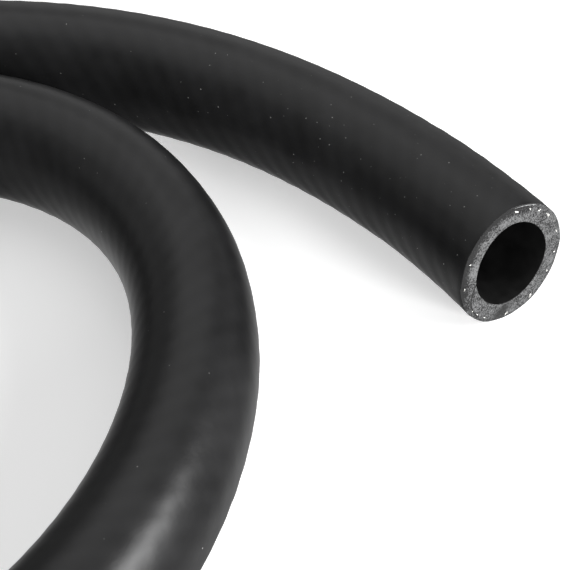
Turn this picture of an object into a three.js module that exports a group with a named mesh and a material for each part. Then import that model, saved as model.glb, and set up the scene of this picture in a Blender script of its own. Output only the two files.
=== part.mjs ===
// A one metre length of reinforced fuel hose, lying in a loose coil on a level floor.
// Millimetres, +Z up. The floor is z = 0 and the middle of the coil is x = 0, y = 0.
// The shown end points along +X. The wall is three bonded layers: a rubber tube
// that carries the fuel, a textile braid that takes the pressure, and a rubber cover.
import * as THREE from 'three';

// The wall, from the bore outwards
const BORE_DIAMETER = 20;
const TUBE_WALL = 2.45;
const BRAID_THICKNESS = 0.6;
const COVER_WALL = 0.85;
// The layers are bonded in the real hose: this clearance keeps them as separate solids
const LAYER_GAP = 0.05;

// Where the hose bends it turns oval: this share of outer radius over bend radius
// comes off its width and goes onto its height
const OVALITY = 0.5;
// The bend is measured over this length of hose to each side
const BEND_REACH = 25;
// The shown end was cut by hand, this many degrees off square, and faces up a little
const CUT_TILT = 6;

// How finely the surface is divided: sides around the hose, and the length of one step
const SIDES = 16;
const STEP = 15;

// The middle line of the hose in plan, from the shown end inwards to the inner end
const ROUTE_POINTS = [
  [59.2, 137.4], [49.2, 137.1], [31.6, 135.3], [4.6, 128.8],
  [-20.9, 118.0], [-43.8, 102.3], [-62.9, 82.2], [-77.4, 58.6],
  [-87.4, 32.7], [-93.5, 5.6], [-95.8, -22.1], [-93.7, -49.7],
  [-86.5, -76.5], [-73.3, -100.9], [-54.0, -120.7], [-29.6, -133.7],
  [-2.3, -138.1], [25.0, -133.5], [49.5, -120.7], [69.5, -101.5],
  [84.1, -77.9], [93.0, -51.7], [96.0, -24.1], [92.8, 3.4],
  [82.7, 29.2], [66.1, 51.4], [44.2, 68.3], [18.2, 77.8],
  [-9.4, 77.1], [-34.3, 65.4], [-52.5, 44.6], [-61.1, 18.4],
  [-59.3, -9.2], [-48.0, -34.4], [-29.1, -54.7], [-5.2, -68.7],
  [21.4, -76.4], [39.0, -78.4], [49.0, -78.7],
];

const TUBE_INNER = BORE_DIAMETER / 2;
const TUBE_OUTER = TUBE_INNER + TUBE_WALL;
const BRAID_INNER = TUBE_OUTER + LAYER_GAP;
const BRAID_OUTER = BRAID_INNER + BRAID_THICKNESS;
const COVER_INNER = BRAID_OUTER + LAYER_GAP;
const COVER_OUTER = COVER_INNER + COVER_WALL;

// The flat sides touch the true circle, so the corners stand out by this factor
const CORNER = 1 / Math.cos(Math.PI / SIDES);
const UP = new THREE.Vector3(0, 0, 1);

const route = new THREE.CatmullRomCurve3(ROUTE_POINTS.map(([x, y]) => new THREE.Vector3(x, y, 0)));
route.arcLengthDivisions = 2000;
const routeLength = route.getLength();

// How sharply the hose bends at a distance along it, as outer radius over bend radius
function bendAt(distance) {
  const before = Math.max(distance - BEND_REACH, 0);
  const after = Math.min(distance + BEND_REACH, routeLength);
  const turned = route.getTangentAt(before / routeLength)
    .angleTo(route.getTangentAt(after / routeLength));
  return (turned / (after - before)) * COVER_OUTER;
}

// The hose's place and section at a distance along it: the section is narrower and
// taller in a bend, and its lowest side always touches the floor
function stationAt(distance) {
  const oval = OVALITY * bendAt(distance);
  const share = distance / routeLength;
  const along = route.getTangentAt(share);
  const centre = route.getPointAt(share);
  centre.z = COVER_OUTER * (1 + oval);
  const side = new THREE.Vector3().crossVectors(along, UP);
  return { centre, along, side, width: 1 - oval, height: 1 + oval };
}

// One layer of the wall, turned as a straight sleeve along +Y
function straightSleeve(innerRadius, outerRadius) {
  const steps = Math.round(routeLength / STEP);
  const distances = Array.from({ length: steps + 1 }, (_, i) => (i / steps) * routeLength);
  const outside = distances.map((y) => new THREE.Vector2(outerRadius * CORNER, y));
  const inside = distances.map((y) => new THREE.Vector2(innerRadius * CORNER, y)).reverse();
  const profile = [inside.at(-1), ...outside, ...inside];
  return new THREE.LatheGeometry(profile, SIDES, Math.PI / SIDES);
}

// Lays a straight sleeve along the route. The ring at the shown end is slanted, so
// that its cut face is one flat plane
function layAlongRoute(geometry) {
  const slant = Math.tan(THREE.MathUtils.degToRad(CUT_TILT));
  const position = geometry.getAttribute('position');
  const stations = new Map();
  for (let i = 0; i < position.count; i += 1) {
    const distance = position.getY(i);
    if (!stations.has(distance)) {
      stations.set(distance, stationAt(Math.min(distance, routeLength)));
    }
    const station = stations.get(distance);
    const across = position.getX(i) * station.width;
    const above = position.getZ(i) * station.height;
    const point = station.centre.clone()
      .addScaledVector(station.side, across)
      .addScaledVector(UP, above)
      .addScaledVector(station.along, distance === 0 ? above * slant : 0);
    position.setXYZ(i, point.x, point.y, point.z);
  }
  geometry.computeVertexNormals();
  return geometry;
}

function layer(name, innerRadius, outerRadius, finish) {
  const geometry = layAlongRoute(straightSleeve(innerRadius, outerRadius));
  const mesh = new THREE.Mesh(geometry, new THREE.MeshStandardMaterial(finish));
  mesh.name = name;
  return mesh;
}

const hose = new THREE.Group();
hose.name = 'fuel_hose';
hose.add(
  layer('inner_tube', TUBE_INNER, TUBE_OUTER, { color: 0x55575a, roughness: 0.85, metalness: 0 }),
  layer('textile_braid', BRAID_INNER, BRAID_OUTER, { color: 0xd9d8d2, roughness: 0.9, metalness: 0 }),
  layer('outer_cover', COVER_INNER, COVER_OUTER, { color: 0x161618, roughness: 0.45, metalness: 0 }),
);

export default hose;
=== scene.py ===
# %% [markdown]
# A metre of fuel hose, dressed for a picture.
# The real hose carries petrol or diesel from a tank to an engine. Its wall has three bonded
# layers: a thick rubber tube, a sleeve of white yarn braided round it, and a thin black cover.
# The CAD part gives the lie of the hose, its bends and its three layers as plain solids. This
# lesson builds the same layers again with round sides, the braid that shows faintly through
# the cover, and the knife-cut ends. It keeps the sizes of the CAD part, apart from the shown
# end, which sprang open a little.

# %% Load the frame
import math

import bmesh
import bpy
import numpy as np
from mathutils import Matrix, Vector


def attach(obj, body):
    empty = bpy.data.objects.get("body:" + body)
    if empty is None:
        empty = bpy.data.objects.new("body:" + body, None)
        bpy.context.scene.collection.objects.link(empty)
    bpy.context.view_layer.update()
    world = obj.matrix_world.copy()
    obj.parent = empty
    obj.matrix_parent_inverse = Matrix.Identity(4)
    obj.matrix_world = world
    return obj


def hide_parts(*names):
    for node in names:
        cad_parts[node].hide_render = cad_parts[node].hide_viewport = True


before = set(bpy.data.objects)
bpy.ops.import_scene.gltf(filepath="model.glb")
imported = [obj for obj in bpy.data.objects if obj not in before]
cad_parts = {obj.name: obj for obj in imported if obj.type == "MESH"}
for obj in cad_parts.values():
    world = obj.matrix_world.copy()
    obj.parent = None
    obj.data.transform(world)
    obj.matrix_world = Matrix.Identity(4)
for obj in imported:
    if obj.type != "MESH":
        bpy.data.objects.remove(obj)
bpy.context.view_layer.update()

print("CAD nodes:", sorted(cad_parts))

# %% [markdown]
# The camera comes first, because every later choice is judged through it. It is a long lens
# close to the hose: it stands 224 mm above the floor and looks down at 45 degrees, so the
# near parts of the coil are clearly bigger than the far ones. The picture is square.

# %% Camera
PICTURE_PIXELS = 570
FOCAL_PIXELS = 1403
SENSOR_MM = 36

camera_data = bpy.data.cameras.new("camera")
camera_data.sensor_width = SENSOR_MM
camera_data.lens = FOCAL_PIXELS * SENSOR_MM / PICTURE_PIXELS
camera_data.clip_start = 0.01
camera = bpy.data.objects.new("camera", camera_data)
camera.location = (0.21565, -0.0188, 0.22394)
camera.rotation_euler = (math.radians(45), 0, math.radians(57.68))
bpy.context.scene.collection.objects.link(camera)
bpy.context.scene.camera = camera
print(f"lens {camera_data.lens:.1f} mm")

# %% [markdown]
# A hose this stiff keeps the bend it was packed with, so it lies in a wide spiral and never
# kinks. Its middle line is a smooth curve through the same points as in the CAD source, here
# in metres. The curve is a centripetal Catmull-Rom spline, which passes through each point
# and doesn't overshoot. It is drawn once as many short steps, and everything else looks up
# its place by the distance from the shown end.

# %% The middle line of the hose
ROUTE_POINTS = [
    (0.0592, 0.1374), (0.0492, 0.1371), (0.0316, 0.1353), (0.0046, 0.1288),
    (-0.0209, 0.1180), (-0.0438, 0.1023), (-0.0629, 0.0822), (-0.0774, 0.0586),
    (-0.0874, 0.0327), (-0.0935, 0.0056), (-0.0958, -0.0221), (-0.0937, -0.0497),
    (-0.0865, -0.0765), (-0.0733, -0.1009), (-0.0540, -0.1207), (-0.0296, -0.1337),
    (-0.0023, -0.1381), (0.0250, -0.1335), (0.0495, -0.1207), (0.0695, -0.1015),
    (0.0841, -0.0779), (0.0930, -0.0517), (0.0960, -0.0241), (0.0928, 0.0034),
    (0.0827, 0.0292), (0.0661, 0.0514), (0.0442, 0.0683), (0.0182, 0.0778),
    (-0.0094, 0.0771), (-0.0343, 0.0654), (-0.0525, 0.0446), (-0.0611, 0.0184),
    (-0.0593, -0.0092), (-0.0480, -0.0344), (-0.0291, -0.0547), (-0.0052, -0.0687),
    (0.0214, -0.0764), (0.0390, -0.0784), (0.0490, -0.0787),
]


def catmull_rom(points, steps=60):
    """Centripetal Catmull-Rom spline through the points, as an array of many points."""
    known = np.array(points)
    known = np.vstack([2 * known[0] - known[1], known, 2 * known[-1] - known[-2]])
    share = np.linspace(0, 1, steps, endpoint=False)[:, None]
    drawn = []
    for p0, p1, p2, p3 in zip(known, known[1:], known[2:], known[3:]):
        d0, d1, d2 = (math.sqrt(np.linalg.norm(b - a)) for a, b in ((p0, p1), (p1, p2), (p2, p3)))
        m1 = ((p1 - p0) / d0 - (p2 - p0) / (d0 + d1) + (p2 - p1) / d1) * d1
        m2 = ((p2 - p1) / d1 - (p3 - p1) / (d1 + d2) + (p3 - p2) / d2) * d1
        a = 2 * p1 - 2 * p2 + m1 + m2
        b = 3 * p2 - 3 * p1 - 2 * m1 - m2
        drawn.append(((a * share + b) * share + m1) * share + p1)
    return np.vstack([*drawn, known[-2:-1]])


route = catmull_rom(ROUTE_POINTS)
route_at = np.concatenate([[0], np.cumsum(np.linalg.norm(np.diff(route, axis=0), axis=1))])
LENGTH = float(route_at[-1])
print(f"middle line {LENGTH:.4f} m")

# %% [markdown]
# A bent hose isn't round: it gets a little narrower across the bend and a little taller. The
# CAD source takes half of outer radius over bend radius off the width and puts it on the
# height, and lets the lowest side touch the floor. The same law here keeps the pieces where
# the CAD solids are. Only the shown end departs from it a little. Each piece is made
# straight, lying along +Y, and then laid along the route.

# %% How a straight piece is laid along the route
OUTER_RADIUS = 0.014
OVALITY = 0.5
BEND_REACH = 0.025
CUT_TILT = math.radians(6)
CAD_STEP = LENGTH / round(LENGTH / 0.015)
# The shown end sprang open a little when it was cut: it is this much wider and taller, and
# it grew by this share on one diagonal and shrank as much on the other. All of it fades out
# over this distance
END_WIDER, END_TALLER, END_ASKEW = 0.045, 0.020, 0.010
END_FADE = 0.08

heading = np.unwrap(np.arctan2(*np.gradient(route, route_at, axis=0).T[::-1]))
before = np.clip(route_at - BEND_REACH, 0, LENGTH)
after = np.clip(route_at + BEND_REACH, 0, LENGTH)
turned = np.abs(np.interp(after, route_at, heading) - np.interp(before, route_at, heading))
route_oval = OVALITY * OUTER_RADIUS * turned / (after - before)


def lay_along_route(straight):
    """Straight places (across, distance, above), in metres, as places in the frame."""
    across, distance, above = straight.T
    inside = np.clip(distance, 0, LENGTH)
    angle = np.interp(inside, route_at, heading)
    oval = np.interp(inside, route_at, route_oval)
    near_end = np.exp(-inside / END_FADE)
    askew = 1 - END_ASKEW * near_end * np.sin(2 * np.arctan2(above, across))
    across, above = across * askew, above * askew
    height = 1 + oval + END_TALLER * near_end
    above = above * height
    across = across * (1 - oval + END_WIDER * near_end)
    slant = above * math.tan(CUT_TILT) * np.clip(1 - distance / CAD_STEP, 0, 1)
    forward = distance - inside + slant
    x, y = (np.interp(inside, route_at, route[:, i]) for i in (0, 1))
    return np.column_stack([
        x + forward * np.cos(angle) + across * np.sin(angle),
        y + forward * np.sin(angle) - across * np.cos(angle),
        OUTER_RADIUS * height + above,
    ])


print(f"tightest bend: {route_oval.max():.1%} narrower and taller")

# %% [markdown]
# Each layer of the wall is a tube with thick sides. In a modelling program it is turned on a
# lathe: the outline of the wall is drawn once, as a long thin rectangle beside the axis, and
# spun round. The outline is divided before it is spun, finely where the surface shows and
# coarsely where it is hidden, so that it can bend and take relief later.

# %% A straight sleeve, spun from the outline of its wall
def straight_sleeve(inner, outer, sides, inside_step, outside_step, wall_rings):
    """A straight tube along +Y between two radii, with its lines divided as finely as asked."""
    sleeve = bmesh.new()
    places = ((inner, 0, 0), (outer, 0, 0), (outer, LENGTH, 0), (inner, LENGTH, 0))
    corners = [sleeve.verts.new(place) for place in places]
    outline = [sleeve.edges.new((corners[i - 1], corners[i])) for i in range(4)]
    # The lines of the outline, in their order: bore side, near cut, outside and far cut
    divisions = (LENGTH / inside_step, wall_rings, LENGTH / outside_step, wall_rings)
    for edge, parts in zip(outline, divisions):
        bmesh.ops.subdivide_edges(sleeve, edges=[edge], cuts=round(parts) - 1)
    bmesh.ops.spin(
        sleeve, geom=sleeve.verts[:] + sleeve.edges[:], cent=(0, 0, 0), axis=(0, 1, 0),
        angle=2 * math.pi, steps=sides, use_merge=True, use_duplicate=False,
    )
    bmesh.ops.recalc_face_normals(sleeve, faces=sleeve.faces)
    return sleeve


def round_rims(sleeve, radius, width):
    """Takes the sharp corner off both rims of that radius."""
    rims = [
        edge for edge in sleeve.edges
        if all(min(v.co.y, LENGTH - v.co.y) < 1e-6 for v in edge.verts)
        and all(abs(math.hypot(v.co.x, v.co.z) - radius) < 1e-6 for v in edge.verts)
    ]
    bmesh.ops.bevel(
        sleeve, geom=rims, offset=width, offset_type="OFFSET", segments=2, profile=0.5,
        affect="EDGES", material=-1,
    )


# %% [markdown]
# The hose was cut from a reel with a knife. The cut isn't quite flat: its left half stands
# forward by up to half a millimetre, the blade dipped a little as it went round, and it
# started twice on the left. The first start left a step there, along an arc, and beyond it
# the face slopes back. All three layers were cut by one stroke, so one function gives the
# height of the cut face for all of them, and it fades out just behind the face. The sharp
# edge of the step is finer than the mesh and comes later, in the material.

# %% The unevenness of the cut ends
CUT_FADE = 0.003
LEFT_FORWARD = 0.00045
STEP_CENTRE = (-0.0037, -0.0043)
STEP_RADIUS = 0.00735
STEP_SLOPE = 0.08


def uneven_cut(across, above, far_end):
    """How far the cut face stands back from a flat one, in metres, at a place on the face."""
    a, b = across / OUTER_RADIUS, above / OUTER_RADIUS
    if far_end:
        return 0.00012 * np.sin(3.1 * a - 1.3 * b + 0.8) + 0.00008 * np.sin(5.3 * b + 2.1 * a)
    wave = 0.00010 * np.sin(2.3 * a + 1.9 * b) + 0.00006 * np.sin(6.1 * b - 3.7 * a + 1.0)
    beyond = np.hypot(across - STEP_CENTRE[0], above - STEP_CENTRE[1]) - STEP_RADIUS
    low = np.clip((0.001 - above) / 0.001, 0, 1)
    low_left = low * np.clip((-across - 0.0085) / 0.0006, 0, 1)
    sloped = STEP_SLOPE * np.clip(beyond, 0, None) * low_left
    return wave + sloped - LEFT_FORWARD * np.clip(-a, 0, 1)


def cut_ends(straight):
    """Moves the ends of a straight piece so that they follow the uneven cuts."""
    across, distance, above = straight.T
    for far_end in (False, True):
        depth = LENGTH - distance if far_end else distance
        step = uneven_cut(across, above, far_end) * np.clip(1 - depth / CUT_FADE, 0, 1)
        straight[:, 1] += -step if far_end else step
    return straight


# %% [markdown]
# Patterns need to know where they are on the hose. A UV map holds the distance along it and
# the way round it, both in metres, so that a pattern keeps its size and follows the bends.
# The seam of the map is on the floor side. A second UV map holds the place on the shown cut,
# across and above the middle line. The inner end's map is shifted away, so that marks which
# belong to the shown cut don't appear on it.

# %% Two UV maps in metres
def numbers(items, name, width, kind=np.float32):
    """One property of many mesh elements as an array."""
    found = np.zeros(len(items) * width, kind)
    items.foreach_get(name, found)
    return found.reshape(-1, width) if width > 1 else found


def map_along_and_around(mesh, straight):
    """Two UV maps in metres: along and round from the floor side, and across the cut."""
    corners = numbers(mesh.loops, "vertex_index", 1, np.int32)
    starts = numbers(mesh.polygons, "loop_start", 1, np.int32)
    sizes = numbers(mesh.polygons, "loop_total", 1, np.int32)
    angle = (np.arctan2(straight[:, 2], straight[:, 0]) + math.pi / 2) % (2 * math.pi)
    around = angle[corners]
    face = np.repeat(np.arange(len(starts)), sizes)
    highest = np.maximum.reduceat(around, starts)[face]
    around = np.where((highest > 5) & (around < 1), around + 2 * math.pi, around)
    shift = np.where(straight[:, 1] > LENGTH / 2, 0.1, 0)
    for name, flat in (
        ("along_and_around", np.column_stack([straight[:, 1][corners], around * OUTER_RADIUS])),
        ("on_the_cut", np.column_stack([straight[:, 0] + shift, straight[:, 2]])[corners]),
    ):
        layer = mesh.uv_layers.new(name=name)
        layer.data.foreach_set("uv", flat.astype(np.float32).ravel())


# %% [markdown]
# A finished sleeve then becomes a mesh object. Faces that look along the hose are cut faces
# and take a second material. The relief is added while the piece is still straight, because
# "inwards" is then simply towards the axis, and only the last step bends it.

# %% From a straight bmesh to a piece on the route
def place_piece(name, mesh, straight):
    """Lays the straight places along the route and makes the object from the mesh."""
    placed = lay_along_route(straight)
    mesh.vertices.foreach_set("co", placed.astype(np.float32).ravel())
    mesh.shade_smooth()
    mesh.set_sharp_from_angle(angle=math.radians(50))
    mesh.update()
    piece = bpy.data.objects.new(name, mesh)
    bpy.context.scene.collection.objects.link(piece)
    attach(piece, "root")
    print(f"{name}: {len(mesh.loops) - 2 * len(mesh.polygons)} triangles")
    return piece


def lay_piece(name, shape, materials, relief=None):
    """Turns the shape into a mesh, adds relief and uneven ends, and places it."""
    mesh = bpy.data.meshes.new(name)
    shape.to_mesh(mesh)
    shape.free()
    straight = numbers(mesh.vertices, "co", 3).astype(float)
    for material in materials:
        mesh.materials.append(material)
    if len(materials) > 1:
        faces_end = np.abs(numbers(mesh.polygons, "normal", 3)[:, 1]) > 0.8
        mesh.polygons.foreach_set("material_index", faces_end.astype(np.int32))
    map_along_and_around(mesh, straight)
    if relief is not None:
        straight = relief(straight)
    return place_piece(name, mesh, cut_ends(straight))


# %% [markdown]
# Materials are built from nodes. Small helpers add a node, set its inputs and link it, so
# that each recipe reads from top to bottom.

# %% Helpers for material nodes
def new_material(name, **shader_inputs):
    """A material with its Principled shader, a function that adds nodes, and its links."""
    material = bpy.data.materials.new(name)
    material.use_nodes = True
    nodes, links = material.node_tree.nodes, material.node_tree.links
    shader = nodes["Principled BSDF"]
    for socket, value in shader_inputs.items():
        shader.inputs[socket].default_value = value

    def add(kind, settings=None, **inputs):
        node = nodes.new(kind)
        for key, value in (settings or {}).items():
            setattr(node, key, value)
        for key, value in inputs.items():
            socket = node.inputs[int(key[1:])] if key[1:].isdigit() else node.inputs[key]
            if isinstance(value, bpy.types.NodeSocket):
                links.new(value, socket)
            else:
                socket.default_value = value
        return node

    return material, shader, add, links


def ramp(add, value, low, high, colour_low, colour_high):
    """Turns a value between low and high into a colour between two colours."""
    node = add("ShaderNodeValToRGB", None, Fac=value)
    first, last = node.color_ramp.elements
    first.position, last.position = low, high
    first.color, last.color = (*colour_low, 1), (*colour_high, 1)
    return node.outputs["Color"]


def between(add, value, low, high, at_low=0.0, at_high=1.0):
    """One number below low, another above high, and a straight slope between them."""
    return add(
        "ShaderNodeMapRange", None, Value=value,
        **{"From Min": low, "From Max": high, "To Min": at_low, "To Max": at_high},
    ).outputs["Result"]


def combine(add, way, first, second):
    """One step of arithmetic with two values."""
    return add("ShaderNodeMath", {"operation": way}, _0=first, _1=second).outputs[0]


def weigh_in(add, value, share, base):
    """The base plus a share of the value."""
    node = add("ShaderNodeMath", {"operation": "MULTIPLY_ADD"}, _0=value, _1=share, _2=base)
    return node.outputs[0]


# %% [markdown]
# The yarns of the braid run round the hose both ways, twelve each way. They are hidden under
# the cover, but they shape it, so their waves are needed in more than one material. Each set
# is a cosine of the place on the UV map, which is one on the middle line of each yarn.

# %% The waves of the braid, for the materials
STRANDS_EACH_WAY = 12
BRAID_PITCH = 0.0059


def braid_waves(add):
    """The two sets of yarns as cosine waves, one on each yarn's middle line."""
    spot = add("ShaderNodeUVMap", {"uv_map": "along_and_around"}).outputs["UV"]
    parts = add("ShaderNodeSeparateXYZ", None, Vector=spot)
    travel = combine(add, "MULTIPLY", parts.outputs["X"], 2 * math.pi / BRAID_PITCH)
    turn = combine(add, "MULTIPLY", parts.outputs["Y"], STRANDS_EACH_WAY / OUTER_RADIUS)
    both = [combine(add, way, turn, travel) for way in ("ADD", "SUBTRACT")]
    return [add("ShaderNodeMath", {"operation": "COSINE"}, _0=wave).outputs[0] for wave in both]


# %% [markdown]
# The cover is satin black rubber. Up close it isn't one black: it has a fine grain from the
# curing wrap, faint cloudy patches of bloom, and pale specks of cutting dust that lie most
# thickly near the cut end. All of it is procedural. The grain reads object coordinates, and
# the dust reads the piece's own UV map, so that the specks lie flat on the bent surface.
# Where a yarn lies underneath, the cover stands a little proud, and the waves of the braid also
# tint its black faintly lighter and darker: a painted sheen on those raised bands.

# %% Cover rubber
cover_rubber, shader, add, links = new_material(
    "cover_rubber", **{"Specular IOR Level": 0.35, "Metallic": 0.0}
)
place = add("ShaderNodeTexCoord").outputs["Object"]
clouds = add("ShaderNodeTexNoise", None, Vector=place, Scale=70, Detail=4, Roughness=0.6)
grain = add("ShaderNodeTexNoise", None, Vector=place, Scale=2600, Detail=2, Roughness=0.6)
ripple = add("ShaderNodeTexNoise", None, Vector=place, Scale=420, Detail=2, Roughness=0.5)
along = add("ShaderNodeUVMap", {"uv_map": "along_and_around"}).outputs["UV"]
cells = add(
    "ShaderNodeTexVoronoi", {"feature": "F1", "voronoi_dimensions": "2D"},
    Vector=along, Scale=330, Randomness=1,
)
from_end = add("ShaderNodeSeparateXYZ", None, Vector=along).outputs["X"]
rarity = between(add, from_end, 0.04, 0.15, 0.58, 0.97)
chosen = add("ShaderNodeSeparateColor", None, Color=cells.outputs["Color"])
kept = between(add, chosen.outputs["Red"], rarity, 1.0)
size = between(add, chosen.outputs["Green"], 0.0, 1.0, 0.018, 0.05)
dust = combine(add, "MULTIPLY", kept, combine(add, "LESS_THAN", cells.outputs["Distance"], size))
waves = braid_waves(add)
# Painted sheen: the waves of the braid lighten and darken the black a little, on top of the bloom.
bloom_and_braid_sheen = weigh_in(add, waves[0], 0.065, clouds.outputs["Fac"])
bloom_and_braid_sheen = weigh_in(add, waves[1], 0.012, bloom_and_braid_sheen)
black = ramp(add, bloom_and_braid_sheen, 0.15, 0.85, (0.005, 0.005, 0.0052), (0.013, 0.013, 0.0135))
colour = add(
    "ShaderNodeMix", {"data_type": "RGBA"}, Factor=dust, _6=black, _7=(0.24, 0.24, 0.235, 1)
)
links.new(colour.outputs[2], shader.inputs["Base Color"])
satin = between(add, clouds.outputs["Fac"], 0.3, 0.7, 0.335, 0.385)
links.new(satin, shader.inputs["Roughness"])
fine = add("ShaderNodeBump", None, Height=grain.outputs["Fac"], Strength=0.25, Distance=0.00004)
soft = add(
    "ShaderNodeBump", None, Height=ripple.outputs["Fac"], Normal=fine.outputs["Normal"],
    Strength=0.5, Distance=0.00006,
)
links.new(soft.outputs["Normal"], shader.inputs["Normal"])

# %% [markdown]
# The knife left marks on the shown cut, and the second UV map places them with some painted
# shade: the sharp edge of the step, a dark line of painted shade along it with smoother rubber
# beyond, and a patch of painted shade at the bottom, where the cut is uneven. On the upper left
# the blade tore more than it cut: the tube is paler there, and the cover's edge was worn round,
# with the shade of that rounded edge painted dark. Each mark is a mask from nought to one.

# %% The marks of the knife and painted shade on the cut, as masks
# The middle of the patch of painted shade, half its length and width, and how it is turned
SHADE_PATCH_CENTRE, SHADE_PATCH_SIZE = (-0.0022, -0.01185), (0.0038, 0.0019)
SHADE_PATCH_TURN = math.radians(20)


def knife_marks_and_shade(add):
    """Masks: beyond the step, painted shade on its edge and low down, the torn side, painted rim
    shade.
    """
    spot = add("ShaderNodeUVMap", {"uv_map": "on_the_cut"}).outputs["UV"]
    parts = add("ShaderNodeSeparateXYZ", None, Vector=spot)
    across, above = parts.outputs["X"], parts.outputs["Y"]
    reach = add("ShaderNodeVectorMath", {"operation": "DISTANCE"}, _0=spot, _1=(*STEP_CENTRE, 0))
    past = combine(add, "SUBTRACT", reach.outputs["Value"], STEP_RADIUS)
    left, low = between(add, across, -0.0086, -0.0092), between(add, above, 0.0006, 0.0002)
    left = combine(add, "MULTIPLY", left, low)
    beyond = combine(add, "MULTIPLY", left, between(add, past, -0.00003, 0.00006))
    off_line = combine(add, "SUBTRACT", past, 0.00006)
    off_line = add("ShaderNodeMath", {"operation": "ABSOLUTE"}, _0=off_line).outputs[0]
    line = combine(add, "MULTIPLY", left, between(add, off_line, 0.00032, 0.00012))
    in_shade_patch = add(
        "ShaderNodeMapping", {"vector_type": "TEXTURE"}, Vector=spot,
        Location=(*SHADE_PATCH_CENTRE, 0), Rotation=(0, 0, SHADE_PATCH_TURN), Scale=(*SHADE_PATCH_SIZE, 1),
    ).outputs["Vector"]
    shade_patch_reach = add("ShaderNodeVectorMath", {"operation": "LENGTH"}, _0=in_shade_patch)
    shade_patch = between(add, shade_patch_reach.outputs["Value"], 1.3, 0.3)
    torn = between(add, combine(add, "SUBTRACT", above, across), 0.004, 0.013)
    radius = add("ShaderNodeVectorMath", {"operation": "LENGTH"}, _0=spot).outputs["Value"]
    rim_shade = combine(add, "MULTIPLY", torn, between(add, radius, 0.0115, 0.0126))
    return beyond, line, shade_patch, torn, rim_shade


# %% [markdown]
# Where the knife went through, the rubber is matt and grey: the blade tears open countless
# small pits, and the filler in the rubber scatters the light. The tube's cut is the lightest,
# and the thin cover keeps more of its black. Pits and pale crumbs come from two noises of
# different size. One recipe serves the tube, the cover and the torn sliver on the rim.

# %% Cut rubber of the tube and of the cover
def cut_rubber(name, dark, light, pit_depth, torn_gain):
    material, shader, add, links = new_material(
        name, **{"Roughness": 0.8, "Specular IOR Level": 0.3, "Metallic": 0.0}
    )
    beyond, line, shade_patch, torn, rim_shade = knife_marks_and_shade(add)
    place = add("ShaderNodeTexCoord").outputs["Object"]
    crumbs = add("ShaderNodeTexNoise", None, Vector=place, Scale=2500, Detail=2, Roughness=0.8)
    patches = add("ShaderNodeTexNoise", None, Vector=place, Scale=380, Detail=3, Roughness=0.6)
    mixed = weigh_in(add, patches.outputs["Fac"], 0.4, -0.2)
    grain = combine(add, "ADD", crumbs.outputs["Fac"], mixed)
    # The rim mask takes 0.18 off the grain: painted shade of the rounded edge on the torn side.
    for mask, gain in ((torn, torn_gain), (beyond, -0.04), (rim_shade, -0.18)):
        grain = weigh_in(add, mask, gain, grain)
    grey = ramp(add, grain, 0.40, 0.61, dark, light)
    # Painted shade: the dark line along the step's edge and the patch low on the cut are mixed in
    # as near-black colour.
    shade = combine(add, "MULTIPLY", combine(add, "MAXIMUM", line, shade_patch), 0.9)
    marked_and_shaded = add(
        "ShaderNodeMix", {"data_type": "RGBA"}, Factor=shade, _6=grey, _7=(0.012, 0.012, 0.012, 1)
    )
    links.new(marked_and_shaded.outputs[2], shader.inputs["Base Color"])
    pits = add(
        "ShaderNodeBump", None, Height=crumbs.outputs["Fac"], Strength=0.9, Distance=pit_depth
    )
    step = add(
        "ShaderNodeBump", {"invert": True}, Height=beyond, Normal=pits.outputs["Normal"],
        Strength=1.0, Distance=0.00016,
    )
    links.new(step.outputs["Normal"], shader.inputs["Normal"])
    return material


PIT_BLACK = (0.008, 0.008, 0.0082)
cut_tube = cut_rubber("cut_tube", PIT_BLACK, (0.098, 0.099, 0.100), 0.00018, torn_gain=0.04)
cut_cover = cut_rubber("cut_cover", PIT_BLACK, (0.080, 0.081, 0.082), 0.00015, torn_gain=-0.10)
# The sliver's pale colour stands for torn rubber and partly for a painted highlight along the rim.
torn_rubber_and_highlight = cut_rubber(
    "torn_rubber_and_highlight", (0.12, 0.121, 0.122), (0.480, 0.483, 0.486), 0.0001, torn_gain=0.0
)

# %% [markdown]
# The cover is the piece that the eye meets first. The braid under it shows through, because
# its yarns lift the soft cover where they lie. In a program this could be a bump texture,
# but then the outline would stay perfectly smooth. Here the mesh itself carries the relief,
# up to 0.15 mm deep and always inwards from the full radius, so that the hose keeps its
# size. It is worn flatter on the upper side and in patches.

# %% The relief of the braid, and the lip that the knife left
RELIEF_DEPTH = 0.00015
LIP_HEIGHT = 0.00010
# Where the lip is highest, in degrees round the face, and how far it spreads
LIP_MIDDLE, LIP_SPREAD = 75, 11


def braid_relief(straight):
    """Presses the outside of the cover in between the yarns, and raises its cut edge."""
    across, distance, above = straight.T
    radius, angle = np.hypot(across, above), np.arctan2(above, across)
    turn = STRANDS_EACH_WAY * angle
    travel = 2 * math.pi * distance / BRAID_PITCH
    worn = 0.75 + 0.25 * np.sin(distance * 37) * np.sin(2 * angle + distance * 23)
    worn *= 1 - 0.55 * np.clip(np.sin(angle), 0, 1)
    leading = 0.72 - 0.22 * np.clip((distance - 0.2) / 0.1, 0, 1)
    yarns = leading * np.cos(turn + travel) + (1 - leading) * np.cos(turn - travel)
    outside = np.clip((radius - 0.0135) / 0.0004, 0, 1)
    pressed = -RELIEF_DEPTH * 0.5 * (1 - yarns) * worn * outside
    degrees = np.degrees(angle) % 360
    flap = np.exp(-(((degrees - LIP_MIDDLE) / LIP_SPREAD) ** 2)) * np.exp(-distance / 0.0005)
    lifted = LIP_HEIGHT * flap * outside
    scale = (radius + pressed + lifted) / radius
    return np.column_stack([across * scale, distance - 0.4 * lifted, above * scale])


# %% [markdown]
# The cover takes the finest mesh of the three layers, with a ring every 1.25 mm along its
# outside, because it carries the relief. Its inside is hidden and stays coarse. A small
# bevel keeps its rims from looking razor sharp.

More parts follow.
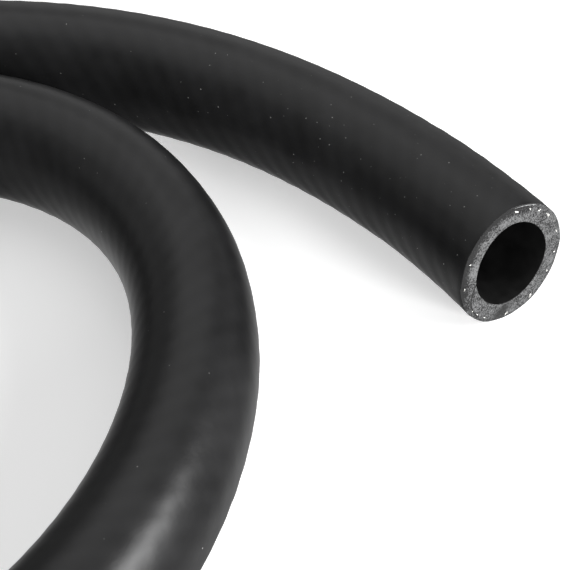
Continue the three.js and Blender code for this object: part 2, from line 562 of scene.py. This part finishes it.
# %% The cover, laid along the route
COVER_INNER, COVER_OUTER = 0.01315, OUTER_RADIUS

sleeve = straight_sleeve(
    COVER_INNER - 0.00005, COVER_OUTER, sides=72,
    inside_step=0.010, outside_step=0.00125, wall_rings=3,
)
round_rims(sleeve, COVER_OUTER, width=0.00012)
hose_cover = lay_piece("hose_cover", sleeve, [cover_rubber, cut_cover], braid_relief)
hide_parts("outer_cover")

# %% [markdown]
# On top of the rim the knife left a thin sliver of torn rubber, whose pale colour is partly a
# painted highlight along the rim. A small circle that is spun part of the way round the rim gives
# its path, and its two ends are then drawn thin.

# %% The torn sliver on the rim
# From and to which angle it runs, in degrees round the face
SLIVER_FROM, SLIVER_TO = 62, 89
SLIVER_RADIUS = 0.0137


def thin_ends(straight):
    """Draws the sliver thin towards both ends."""
    across, distance, above = straight.T
    radius, angle = np.hypot(across, above), np.arctan2(above, across)
    share = (np.degrees(angle) - SLIVER_FROM) / (SLIVER_TO - SLIVER_FROM)
    thick = 0.25 + 0.75 * np.sin(math.pi * np.clip(share, 0, 1)) * (0.8 + 0.2 * np.sin(19 * share))
    radius = SLIVER_RADIUS + (radius - SLIVER_RADIUS) * thick
    forward = distance * thick - 0.00005
    return np.column_stack([radius * np.cos(angle), forward, radius * np.sin(angle)])


sliver = bmesh.new()
circle = bmesh.ops.create_circle(sliver, cap_ends=True, segments=8, radius=0.00012)["verts"]
bmesh.ops.translate(sliver, verts=circle, vec=(SLIVER_RADIUS, 0, 0))
bmesh.ops.rotate(
    sliver, verts=circle, cent=(0, 0, 0), matrix=Matrix.Rotation(math.radians(-SLIVER_FROM), 3, "Y")
)
bmesh.ops.spin(
    sliver, geom=sliver.verts[:] + sliver.edges[:] + sliver.faces[:],
    cent=(0, 0, 0), axis=(0, 1, 0), angle=math.radians(SLIVER_FROM - SLIVER_TO),
    steps=24, use_duplicate=False,
)
bmesh.ops.recalc_face_normals(sliver, faces=sliver.faces)
rim_sliver = lay_piece("rim_sliver", sliver, [torn_rubber_and_highlight], thin_ends)

# %% [markdown]
# Inside the bore the rubber is smooth and black, because it was pushed out over a steel pin.
# It mirrors little, and a faint mottle keeps it from looking like a hole in the picture.

# %% Bore rubber
bore_rubber, shader, add, links = new_material(
    "bore_rubber", **{"Specular IOR Level": 0.15, "Metallic": 0.0}
)
place = add("ShaderNodeTexCoord").outputs["Object"]
mottle = add("ShaderNodeTexNoise", None, Vector=place, Scale=300, Detail=3, Roughness=0.6)
links.new(
    ramp(add, mottle.outputs["Fac"], 0.3, 0.7, (0.003, 0.003, 0.003), (0.006, 0.006, 0.006)),
    shader.inputs["Base Color"],
)
matt = between(add, mottle.outputs["Fac"], 0.3, 0.7, 0.5, 0.62)
links.new(matt, shader.inputs["Roughness"])
uneven = add("ShaderNodeBump", None, Height=mottle.outputs["Fac"], Strength=0.4, Distance=0.0001)
links.new(uneven.outputs["Normal"], shader.inputs["Normal"])

# %% [markdown]
# The tube is the thick inner layer, and most of the cut face belongs to it. The face needs
# fine rings and many sides for the step and the marks of the knife, and the hidden outside
# needs almost none. The stroke of the blade pressed the bore a little out of round.

# %% The inner tube
TUBE_INNER, TUBE_OUTER = 0.010, 0.01245
# Near the shown end the bore is this much narrower than the outside, pressed in by this
# share on one diagonal, and this far off the middle, all fading out over this distance
BORE_NARROWER, BORE_PRESSED, BORE_OFF_CENTRE = 0.022, 0.04, 0.00006
BORE_FADE = 0.02


def oval_bore(straight):
    """Presses the bore out of round near the shown end."""
    across, distance, above = straight.T
    depth = np.clip((TUBE_OUTER - np.hypot(across, above)) / (TUBE_OUTER - TUBE_INNER), 0, 1)
    share = depth * np.exp(-distance / BORE_FADE)
    diagonal = np.clip(np.sin(2 * np.arctan2(above, across)), 0, 1)
    pressed = 1 - BORE_PRESSED * share * diagonal
    return np.column_stack([
        across * (1 - BORE_NARROWER * share) * pressed + BORE_OFF_CENTRE * share,
        distance,
        above * pressed - BORE_OFF_CENTRE * share,
    ])


sleeve = straight_sleeve(
    TUBE_INNER, TUBE_OUTER + 0.00003, sides=144,
    inside_step=0.005, outside_step=0.02, wall_rings=9,
)
round_rims(sleeve, TUBE_INNER, width=0.00015)
rubber_tube = lay_piece("rubber_tube", sleeve, [bore_rubber, cut_tube], oval_bore)
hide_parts("inner_tube")

# %% [markdown]
# The braid takes the pressure. It lies between tube and cover, soaked with rubber, so at the
# cut it shows only as a ring of pale dots, one for each yarn. The sleeve here carries the
# woven pattern on its round sides: two sets of stripes that cross, made from the UV map.

# %% The braid layer
BRAID_INNER, BRAID_OUTER = 0.0125, 0.0131

braid_yarn, shader, add, links = new_material(
    "braid_yarn", **{"Roughness": 0.85, "Specular IOR Level": 0.2, "Metallic": 0.0}
)
waves = braid_waves(add)
woven = combine(add, "MAXIMUM", waves[0], waves[1])
links.new(
    ramp(add, woven, 0.25, 0.6, (0.03, 0.03, 0.03), (0.70, 0.69, 0.65)), shader.inputs["Base Color"]
)
raised = add("ShaderNodeBump", None, Height=woven, Strength=0.8, Distance=0.0002)
links.new(raised.outputs["Normal"], shader.inputs["Normal"])

sleeve = straight_sleeve(
    BRAID_INNER - 0.00002, BRAID_OUTER + 0.00002, sides=72,
    inside_step=0.02, outside_step=0.01, wall_rings=2,
)
braid_layer = lay_piece("braid_layer", sleeve, [braid_yarn, cut_tube])
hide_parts("textile_braid")

# %% [markdown]
# Each yarn is a flat bundle of filaments that winds round the tube at 49 degrees, half of
# them to the left and half to the right. Only their last two millimetres can show, so only
# those are modelled. A filament starts as a small circle inside the wall, and a spin with a
# step along the axis sweeps it round and forwards at once, which is just the path of a yarn.
# Where a yarn was cut short it ends below the face and stays hidden.

# %% Where the yarns end
YARN_RADIUS = 0.0128
FILAMENT = 0.00009
FILAMENT_SPACING = 0.00013
BRAID_ANGLE = math.radians(49)
# A yarn starts this far inside the wall, and one that doesn't show ends this far inside it
BURIED, CUT_SHORT = 0.002, 0.0004
# Where each yarn comes out at the shown end, in degrees round the face, and how far it shows
SHOWN_YARNS = [
    (12, 0.7), (26, 0.2), (38, 0.9), (43, 0.5), (55, 0.7), (70, 0.6), (86, 1.3), (98, 0.0),
    (112, 0.0), (128, 0.0), (154, 0.8), (163, 0.0), (181, 0.9), (197, 0.0), (214, 0.6), (224, 0.5),
    (236, 1.0), (252, 0.0), (266, 1.5), (282, 0.0), (297, 1.6), (311, 0.0), (326, 0.6), (348, 0.8),
]

# %% [markdown]
# A yarn that shows more is thicker, so it gets more filaments and they reach out further.
# Each filament is set off sideways and in its reach by a small seeded chance, because no two
# ends were cut alike.

# %% One yarn end
facing_y = Vector((0, 0, 1)).rotation_difference(Vector((0, 1, 0))).to_matrix()


def add_yarn(ends, degrees, shows, way, far_end, chance):
    """One yarn as a few filaments that come out of the face at that angle."""
    reach = 0.00008 + 0.00020 * shows
    strands = max(1, round(3.4 * shows - 0.4))
    for strand in range(strands):
        sideways = (strand - (strands - 1) / 2) * FILAMENT_SPACING + chance.normal(0, 0.00004)
        radius = YARN_RADIUS + chance.normal(0, 0.0001)
        out = reach * chance.uniform(0.4, 1.0)
        if shows == 0:
            out = -CUT_SHORT
        angle = math.radians(degrees) + sideways / radius
        across, above = radius * math.cos(angle), radius * math.sin(angle)
        depth = BURIED + out
        swing = way * math.tan(BRAID_ANGLE) * depth / YARN_RADIUS
        step = float(uneven_cut(across, above, far_end))
        face = LENGTH - step if far_end else step
        inward = -1 if far_end else 1
        ring = bmesh.ops.create_circle(ends, cap_ends=False, segments=6, radius=FILAMENT)["verts"]
        bmesh.ops.rotate(ends, verts=ring, cent=(0, 0, 0), matrix=facing_y)
        bmesh.ops.translate(ends, verts=ring, vec=(across, face - inward * out, above))
        edges = list({edge for vert in ring for edge in vert.link_edges})
        bmesh.ops.spin(
            ends, geom=ring + edges, cent=(0, 0, 0), axis=(0, 1, 0), angle=swing, steps=3,
            dvec=(0, inward * depth / 3, 0), use_duplicate=False,
        )


# %% [markdown]
# The shown end has its yarns where the list puts them. The inner end gets the same list
# turned the other way round, with a little chance in each place. The open ends of all the
# filaments are closed in one step.

# %% All yarn ends
chance = np.random.default_rng(28)
ends = bmesh.new()
for i, (degrees, shows) in enumerate(SHOWN_YARNS):
    add_yarn(ends, degrees, shows, 1 if i % 2 else -1, False, chance)
    add_yarn(ends, 97 - degrees + chance.normal(0, 2), shows, 1 if i % 2 else -1, True, chance)
bmesh.ops.holes_fill(ends, edges=[edge for edge in ends.edges if edge.is_boundary], sides=8)
bmesh.ops.recalc_face_normals(ends, faces=ends.faces)

yarn_white, shader, add, links = new_material(
    "yarn_white", **{"Roughness": 0.75, "Specular IOR Level": 0.3, "Metallic": 0.0}
)
place = add("ShaderNodeTexCoord").outputs["Object"]
fluff = add("ShaderNodeTexNoise", None, Vector=place, Scale=1800, Detail=2, Roughness=0.6)
links.new(
    ramp(add, fluff.outputs["Fac"], 0.35, 0.6, (0.38, 0.375, 0.355), (0.92, 0.91, 0.88)),
    shader.inputs["Base Color"],
)

mesh = bpy.data.meshes.new("yarn_ends")
ends.to_mesh(mesh)
ends.free()
mesh.materials.append(yarn_white)
yarn_ends = place_piece("yarn_ends", mesh, numbers(mesh.vertices, "co", 3).astype(float))

# %% [markdown]
# It is one bare length of hose, stiff, lying in its own coil.

# %% [markdown]
# The hose lies on a white studio floor. The floor is a plain disc, lit until it is almost
# white, with soft shadows where the hose touches it. It also gives off a little light of its
# own, which keeps those shadows pale.

# %% Floor
floor_shape = bmesh.new()
bmesh.ops.create_circle(floor_shape, cap_ends=True, segments=96, radius=3.0)
floor_mesh = bpy.data.meshes.new("floor")
floor_shape.to_mesh(floor_mesh)
floor_shape.free()
floor_white, *_ = new_material(
    "floor_white",
    **{"Base Color": (0.84, 0.84, 0.84, 1), "Roughness": 0.9, "Specular IOR Level": 0.1,
       "Emission Color": (1, 1, 1, 1), "Emission Strength": 0.45},
)
floor_mesh.materials.append(floor_white)
floor = bpy.data.objects.new("floor", floor_mesh)
bpy.context.scene.collection.objects.link(floor)
floor.visible_glossy = False

# %% [markdown]
# Black rubber shows almost nothing but the reflections of its surroundings. Lamps to the right
# of the camera draw the rims and the streak on the near bend, and a low one beside the camera
# fills the middles. Weak wide boxes behind the hose and high to both sides lift its upper
# halves. Each light is given by its bearing, counter-clockwise from +X, and its height, both
# in degrees. All of them stand at the same distance. The bearings are counted from the one
# that lies straight behind the hose as the camera sees it.

# %% Lights
# The lights look at this point, near the shown end
AIM = Vector((0.03, 0.10, 0.0))
LIGHT_DISTANCE = 1.3
# The bearing straight behind the hose
BEHIND = 148


def direction(bearing, height):
    """The direction of that bearing and height, as a vector of length one."""
    turn, rise = math.radians(bearing), math.radians(height)
    level = math.cos(rise)
    return Vector((level * math.cos(turn), level * math.sin(turn), math.sin(rise)))


def softbox(name, bearing, height, size, watts):
    """A round soft light that looks at the hose from that bearing and height."""
    towards = direction(bearing, height)
    data = bpy.data.lights.new(name, "AREA")
    data.shape, data.size, data.energy = "DISK", size, watts
    light = bpy.data.objects.new(name, data)
    light.location = AIM + LIGHT_DISTANCE * towards
    light.rotation_euler = towards.to_track_quat("Z", "Y").to_euler()
    bpy.context.scene.collection.objects.link(light)


softbox("right_lamp", BEHIND + 266, 35, 0.42, 9)
softbox("right_middle_lamp", BEHIND + 255, 25, 0.42, 6.5)
softbox("right_low_lamp", BEHIND + 225, 12, 0.42, 24)
softbox("camera_low_lamp", BEHIND + 180, 12, 0.42, 12)
softbox("left_high_box", BEHIND + 60, 62, 1.4, 2.6)
softbox("left_back_box", BEHIND + 75, 35, 1.4, 1.6)
softbox("back_box", BEHIND, 35, 1.4, 2.4)
softbox("high_back_box", BEHIND, 70, 1.4, 2.0)
softbox("right_high_box", BEHIND + 300, 62, 1.4, 1.3)

# %% [markdown]
# The rest of the studio is dim. Below the horizon the hose mirrors the lit floor, which is
# bright behind the object and duller towards the camera. Reflecting the real floor disc would
# tie the look of the rubber to how white the floor is, so the disc is left out of reflections
# and the surroundings carry a soft gradient in its place: one ramp over height for the far
# half, one for the camera's half, and a smooth change between the two.

# %% Surroundings
world = bpy.data.worlds.new("studio")
world.use_nodes = True
sky, links = world.node_tree.nodes, world.node_tree.links


def glow(look, stops):
    """Brightness by the height of the direction, from -1 straight down to 1 straight up."""
    rise = sky.new("ShaderNodeMapRange")
    rise.inputs["From Min"].default_value = -1
    links.new(look.outputs["Z"], rise.inputs["Value"])
    bands = sky.new("ShaderNodeValToRGB")
    links.new(rise.outputs["Result"], bands.inputs["Fac"])
    elements = bands.color_ramp.elements
    elements.remove(elements[1])
    for i, (height, strength) in enumerate(stops):
        stop = elements[0] if i == 0 else elements.new((height + 1) / 2)
        stop.position, stop.color = (height + 1) / 2, (strength, strength, strength, 1)
    return bands.outputs["Color"]


way = sky.new("ShaderNodeTexCoord").outputs["Generated"]
look = sky.new("ShaderNodeSeparateXYZ")
links.new(way, look.inputs["Vector"])
towards_back = sky.new("ShaderNodeVectorMath")
towards_back.operation = "DOT_PRODUCT"
towards_back.inputs[1].default_value = direction(BEHIND, 0)
links.new(way, towards_back.inputs[0])
half = sky.new("ShaderNodeMapRange")
half.inputs["From Min"].default_value, half.inputs["From Max"].default_value = -0.5, 0.5
links.new(towards_back.outputs["Value"], half.inputs["Value"])
both = sky.new("ShaderNodeMix")
both.data_type = "RGBA"
links.new(half.outputs["Result"], both.inputs["Factor"])
camera_half = [(-1, 0.0), (-0.7, 0.0), (-0.4, 0.34), (0, 0.11), (0.4, 0.01)]
far_half = [(-1, 0.0), (-0.7, 0.82), (-0.4, 0.15), (0, 0.42), (0.4, 0.01)]
links.new(glow(look, camera_half), both.inputs[6])
links.new(glow(look, far_half), both.inputs[7])
links.new(both.outputs[2], sky["Background"].inputs["Color"])
sky["Background"].inputs["Strength"].default_value = 1
bpy.context.scene.world = world
bpy.context.scene.view_settings.view_transform = "Standard"
